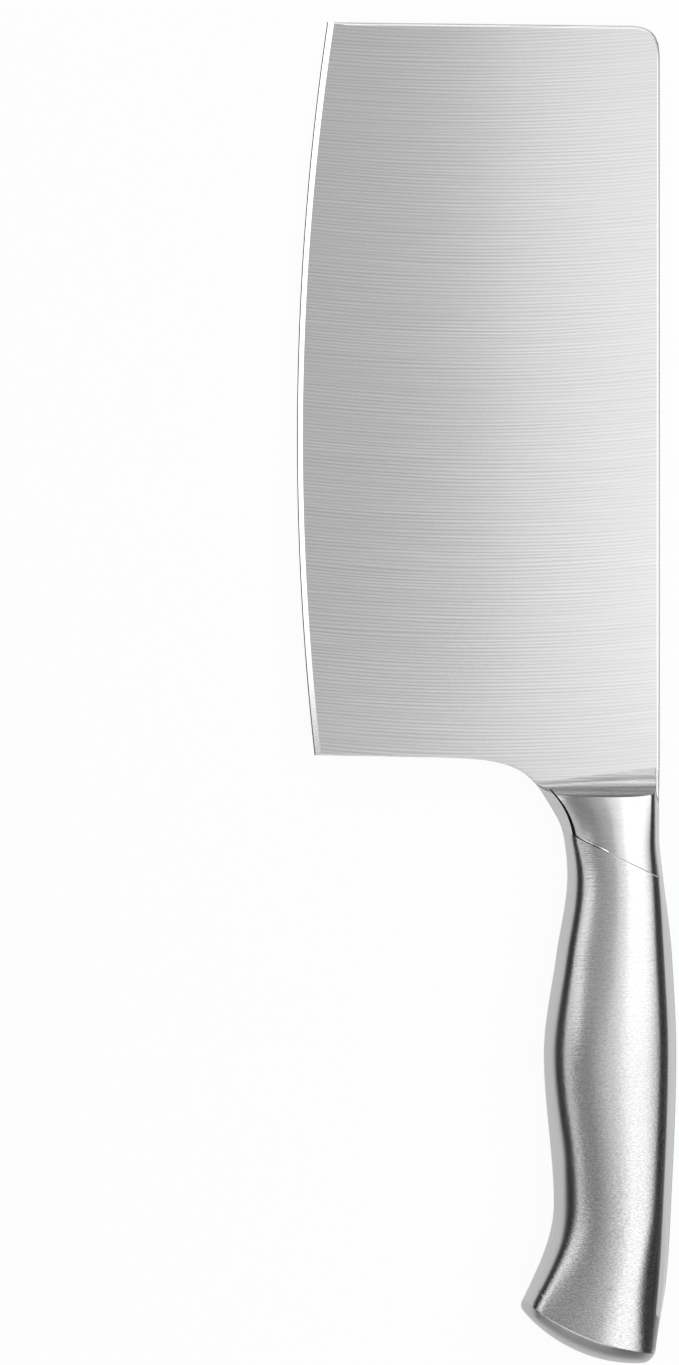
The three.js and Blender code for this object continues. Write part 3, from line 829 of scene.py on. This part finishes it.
satin_roll, wire, (x, y, z) = new_finish("satin_roll_steel")
hairs = streaks(wire, x * 500.0, y * 1500.0, z * 500.0)
steel(wire, 0.52 + (hairs - 0.5) * 0.08, 0.33 + (hairs - 0.5) * 0.06, hairs, 0.000006)


def cap_section(t):
    """The grip's section, closed down to the middle of the seam."""
    points = grip_section(t)
    return [Vector((belly_x(t), 0.0))] + points + [Vector((back_x(t), 0.0))]


cap_columns = len(cap_section(0.0)) - 1
rim_line, foot_line = [], []
for column in range(cap_columns + 1):
    def cap_point(t, column=column):
        x, z = cap_section(t)[column]
        return Vector((x, -t, z))

    for line, middle, radius in (
        (rim_line, rim_middle, rim_radius), (foot_line, butt_middle, butt_radius),
    ):
        t = solve(
            lambda t: (cap_point(t).xy - middle).length - radius,
            station_at[-1] - search_before, handle_length + search_past,
        )
        line.append(cap_point(t))


def butt_corner(outline, length):
    """Rounding of one corner in plan: its centre, radius, direction and half angle."""
    t = solve(
        lambda t: (Vector((outline(t), -t)) - butt_middle).length - butt_radius,
        station_at[-2], handle_length + search_past,
    )
    corner = Vector((outline(t), -t))
    ahead = (Vector((outline(t - 1), 1 - t)) - corner).normalized()
    spoke = (corner - butt_middle).normalized()
    around = Vector((-spoke.y, spoke.x)) * (1 if corner.x < butt_x else -1)
    half = ahead.angle(around) / 2
    inward = (ahead + around).normalized()
    return corner + inward * (length / math.cos(half)), length * math.tan(half), inward, half


butt_corners = [butt_corner(belly_x, hook_round), butt_corner(back_x, corner_round)]


def rounded(place):
    """Draws a point of the butt in to its rounded corners."""
    for centre, radius, inward, half in butt_corners:
        out = place.xy - centre
        if out.length > radius and out.angle(-inward) < math.pi / 2 - half:
            place.xy = centre + out.normalized() * radius
    return place


def cap_corner(column, row):
    """Rows run from the seam, over the rim, then down the roll and the wall of the butt."""
    edge, foot = rim_line[column], foot_line[column]
    if row <= band_rows:
        t = -edge.y
        for _ in range(band_rounds):
            x, z = cap_section(t)[column]
            seam = min(seam_t(x, cap_seam), -edge.y)
            t = mix(t, mix(seam, -edge.y, row / band_rows), band_pull)
        return rounded(Vector((x, -t, z)))
    step = row - band_rows
    fall = min(edge.z, roll_fall * (foot.xy - edge.xy).length / cap_depth)
    curve = (
        Vector((0.0, edge.z)),
        Vector((roll_lead[0], edge.z - fall * roll_lead[1])),
        Vector((1.0, edge.z - fall * roll_end)),
        Vector((1.0, edge.z - fall)),
    )
    reach, z = on_curve(curve, min(step / roll_rows, 1.0))
    z *= 1 - max(0.0, (step - roll_rows) / wall_rows)
    return rounded(Vector((*edge.xy.lerp(foot.xy, reach), z)))


bm = bmesh.new()
formed_grid(bm, cap_columns, band_rows + roll_rows + wall_rows, cap_corner)
bmesh.ops.mirror(bm, geom=everything(bm), matrix=Matrix(), merge_dist=0.001, axis="Z")
settle(bm, 0.004)
seam = [edge for edge in bm.edges if edge.is_boundary]
grown = bmesh.ops.extrude_edge_only(bm, edges=seam)["geom"]
inner = [item for item in grown if isinstance(item, bmesh.types.BMVert)]
middle = sum((v.co for v in inner), Vector()) / len(inner)
bmesh.ops.scale(bm, vec=spigot_shrink, space=Matrix.Translation(-middle), verts=inner)
bmesh.ops.translate(bm, vec=(0.0, spigot_length, 0.0), verts=inner)
bmesh.ops.contextual_create(bm, geom=[edge for edge in bm.edges if edge.is_boundary])
bmesh.ops.recalc_face_normals(bm, faces=bm.faces)
rim = [
    edge for edge in bm.edges if all(
        abs(v.co.z) > rim_least_z
        and abs((v.co.xy - rim_middle).length - rim_radius) < rim_reach
        for v in edge.verts
    )
]
keep_crisp(bm, crisp_on_cap)
for edge in rim:
    edge.smooth = True
polish_strips(bm)
for face in bm.faces:
    middle = face.calc_center_median()
    if (middle.xy - rim_middle).length > rim_radius:
        face.material_index = 2
round_edges(bm, rim, rim_bevel, rim_bevel_segments)
for face in bm.faces:
    face.smooth = True
set_in_place(
    bm, "butt_dome", "butt_cap", [satin_grip, polished_strip, satin_roll],
)


# Seam welds: the metal that fills the vee between the two shells, along the belly and along
# the back. It is ground flush with the outline of the handle, with the marks running across.
weld_depth = 0.8
weld_rows = 90
weld_search = 2.0
crisp_on_weld = 30.0

ground_weld, wire, (x, y, z) = new_finish("ground_weld_steel")
hairs = streaks(wire, x * 200.0, y * 2600.0, z * 200.0)
tone = 0.58 + (hairs - 0.5) * 0.14
steel(wire, tone, 0.30 + (hairs - 0.5) * 0.12, hairs, 0.000008)

for edge_name, outline, inward in (("belly", belly_x, 1.0), ("back", back_x, -1.0)):
    first = solve(lambda t: t - joint_t(outline(t)), 0.0, joint_at_spine + weld_search)
    last = solve(
        lambda t: math.hypot(outline(t) - butt_x, -t - butt_y) - cap_seam,
        station_at[-2], handle_length,
    )

    def weld_corner(column, row):
        """Three corners of the vee: two at the outline and one at its root."""
        t = mix(first, last, row / weld_rows)
        face = outline(t)
        root = face + inward * weld_depth
        x, z = ((face, -weld_half), (face, weld_half), (root, 0.0))[column % 3]
        return Vector((x, -t, z))

    bm = bmesh.new()
    formed_grid(bm, 3, weld_rows, weld_corner)
    settle(bm)
    bmesh.ops.holes_fill(bm, edges=[edge for edge in bm.edges if edge.is_boundary], sides=3)
    bmesh.ops.recalc_face_normals(bm, faces=bm.faces)
    keep_crisp(bm, crisp_on_weld)
    set_in_place(bm, edge_name + "_weld", edge_name + "_seam_weld", [ground_weld])


# Handle core: the cast filling round the tang, closed in by the shells. Its CAD solid stays,
# with the dull, slightly pitted surface of a poured resin and sand filling.
core_filling, wire, (x, y, z) = new_finish("core_filling")
sand = streaks(wire, x * 900.0, y * 900.0, z * 900.0, 4.0)
tone = 0.26 + (sand - 0.5) * 0.2
colour = wire.node(
    "ShaderNodeCombineColor",
    sockets={"Red": tone, "Green": tone * 0.97, "Blue": tone * 0.9},
)
bump = wire.node("ShaderNodeBump", sockets={"Strength": 0.6, "Distance": 0.0004, "Height": sand})
shader = wire.node("ShaderNodeBsdfPrincipled", sockets={
    "Base Color": colour, "Roughness": 0.9, "Normal": bump,
})
wire.node("ShaderNodeOutputMaterial", sockets={"Surface": shader})
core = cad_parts["handle_core"].data
core.materials.clear()
core.materials.append(core_filling)


# Floor: plain white, laid under the knife as it comes to rest on the swell of its handle and
# on the end of the blade. It is white to the camera, pale in reflections, and keeps the shadow.
swell = half_at_station.index(max(half_at_station))
swell_y = (knife_to_frame @ Vector((0.0, -station_at[swell], 0.0))).y
swell_z = (knife_to_frame @ Vector((0.0, 0.0, -half_at_station[swell]))).z
tip_point = knife_to_frame @ Vector((0.0, tip_line(0.0), -plate_half))
floor_slope = (tip_point.z - swell_z) / (tip_point.y - swell_y)

floor_half = 5.0
floor_gap = 0.0002
floor_to_camera = 0.94
floor_in_steel = 0.65
bm = bmesh.new()
bmesh.ops.create_grid(bm, x_segments=2, y_segments=2, size=floor_half)
for corner in bm.verts:
    corner.co.z = tip_point.z - floor_slope * (tip_point.y - corner.co.y) - floor_gap
floor_mesh = bpy.data.meshes.new("floor")
bm.to_mesh(floor_mesh)
bm.free()
floor = bpy.data.objects.new("floor", floor_mesh)
bpy.context.scene.collection.objects.link(floor)


def rays(wire):
    """Masks of the rays from the camera, and of those that steel or glass sends on."""
    seen, mirrored, through = [
        wire.node("ShaderNodeLightPath", out="Is " + kind + " Ray")
        for kind in ("Camera", "Glossy", "Transmission")
    ]
    return seen, wire.maths("MAXIMUM", mirrored, through)


white_floor, wire, (x, y, z) = new_finish("white_floor")
matt = wire.node("ShaderNodeBsdfDiffuse", sockets={"Color": (0.92, 0.92, 0.92, 1.0)})
bright = wire.node("ShaderNodeEmission", sockets={"Color": (1.0, 1.0, 1.0, 1.0), "Strength": 1.0})
seen, mirrored = rays(wire)
shown = wire.maths("MAXIMUM", seen * floor_to_camera, mirrored * floor_in_steel)
mixed = wire.node("ShaderNodeMixShader", sockets={0: shown, 1: matt, 2: bright})
wire.node("ShaderNodeOutputMaterial", sockets={"Surface": mixed})
floor_mesh.materials.append(white_floor)


# Studio: a wide diffuser overhead that grows brighter to the right, with cards on the left, past
# the tip and behind the butt. The surroundings glow faintly ahead of the knife and behind it, and
# stay dark at its sides, where the creases of the handle mirror them.
diffuser_z = 0.45
layer_gap = 0.01


def soft_box(name, x_span, y_span, radiance, layer):
    """A flat soft box in one layer of the diffuser, facing down."""
    lamp = bpy.data.lights.new(name, "AREA")
    lamp.shape = "RECTANGLE"
    lamp.size = x_span[1] - x_span[0]
    lamp.size_y = y_span[1] - y_span[0]
    lamp.energy = radiance * lamp.size * lamp.size_y * math.pi
    box = bpy.data.objects.new(name, lamp)
    box.location = (sum(x_span) / 2, sum(y_span) / 2, diffuser_z + layer * layer_gap)
    bpy.context.scene.collection.objects.link(box)


over_blade, over_handle = (-0.01, 0.8), (-0.55, -0.05)
soft_box("wash", (-0.5, 0.8), (-0.55, 0.8), 0.32, 0)
soft_box("blade_wash", (-0.5, 0.2), over_blade, 0.21, 1)
soft_box("blade_centre", (0.014, 0.6), (-0.01, 0.23), 0.66, 2)
soft_box("blade_key", (0.17, 0.7), (-0.01, 0.3), 0.7, 3)
soft_box("tip_card", (-0.3, 0.7), (0.42, 0.8), 0.8, 4)
for step in range(7):
    across = (-0.17 + 0.06 * step, 0.72 - 0.03 * step)
    along = (-0.55, 0.05 if step > 3 else -0.01)
    soft_box("ramp_" + str(step), across, along, 0.13 + 0.022 * step, 1 + step)
soft_box("left_card", (-0.9, -0.5), over_handle, 0.87, 0)
soft_box("edge_card", (-0.9, -0.37), (-0.05, 0.8), 1.0, 4)
soft_box("front_tail", (-0.7, 0.7), (0.8, 1.5), 0.65, 0)
soft_box("rear_card", (-0.42, 0.02), (-1.0, -0.56), 2.0, 8)
soft_box("joint_card", (-0.72, -0.42), (-0.95, -0.52), 2.4, 9)

world = bpy.data.worlds.new("studio")
bpy.context.scene.world = world
world.use_nodes = True
world.node_tree.nodes.clear()
wire = Wire(world.node_tree)
seen, mirrored = rays(wire)
heading = wire.node("ShaderNodeTexCoord", out="Generated")
aside = wire.node("ShaderNodeSeparateXYZ", sockets={"Vector": heading}, out="X")
above = wire.node("ShaderNodeSeparateXYZ", sockets={"Vector": heading}, out="Z")
ahead = fade(wire, wire.maths("ABSOLUTE", aside), 0.72, 0.88, 1.0, 0.0)
horizon = ahead * fade(wire, above, 0.25, 0.4, 1.0, 0.0)
dark_room = 0.03
horizon_glow = 0.3
sky = wire.node("ShaderNodeBackground", sockets={
    "Color": (1.0, 1.0, 1.0, 1.0),
    "Strength": seen * (1 - dark_room) + dark_room + mirrored * horizon * horizon_glow,
})
wire.node("ShaderNodeOutputWorld", sockets={"Surface": sky})


# Camera: a long lens square above the blade, with the tip of the knife upwards.
picture_height = 0.3309
picture_middle = (-0.03566, 0.0023)
camera_height = 2.4
lens = bpy.data.cameras.new("camera")
lens.sensor_fit = "AUTO"
lens.sensor_width = 36.0
lens.lens = lens.sensor_width * camera_height / picture_height
camera = bpy.data.objects.new("camera", lens)
bpy.context.scene.collection.objects.link(camera)
camera.location = (*picture_middle, camera_height + plate_high.z)
bpy.context.scene.camera = camera
bpy.context.scene.view_settings.view_transform = "Standard"
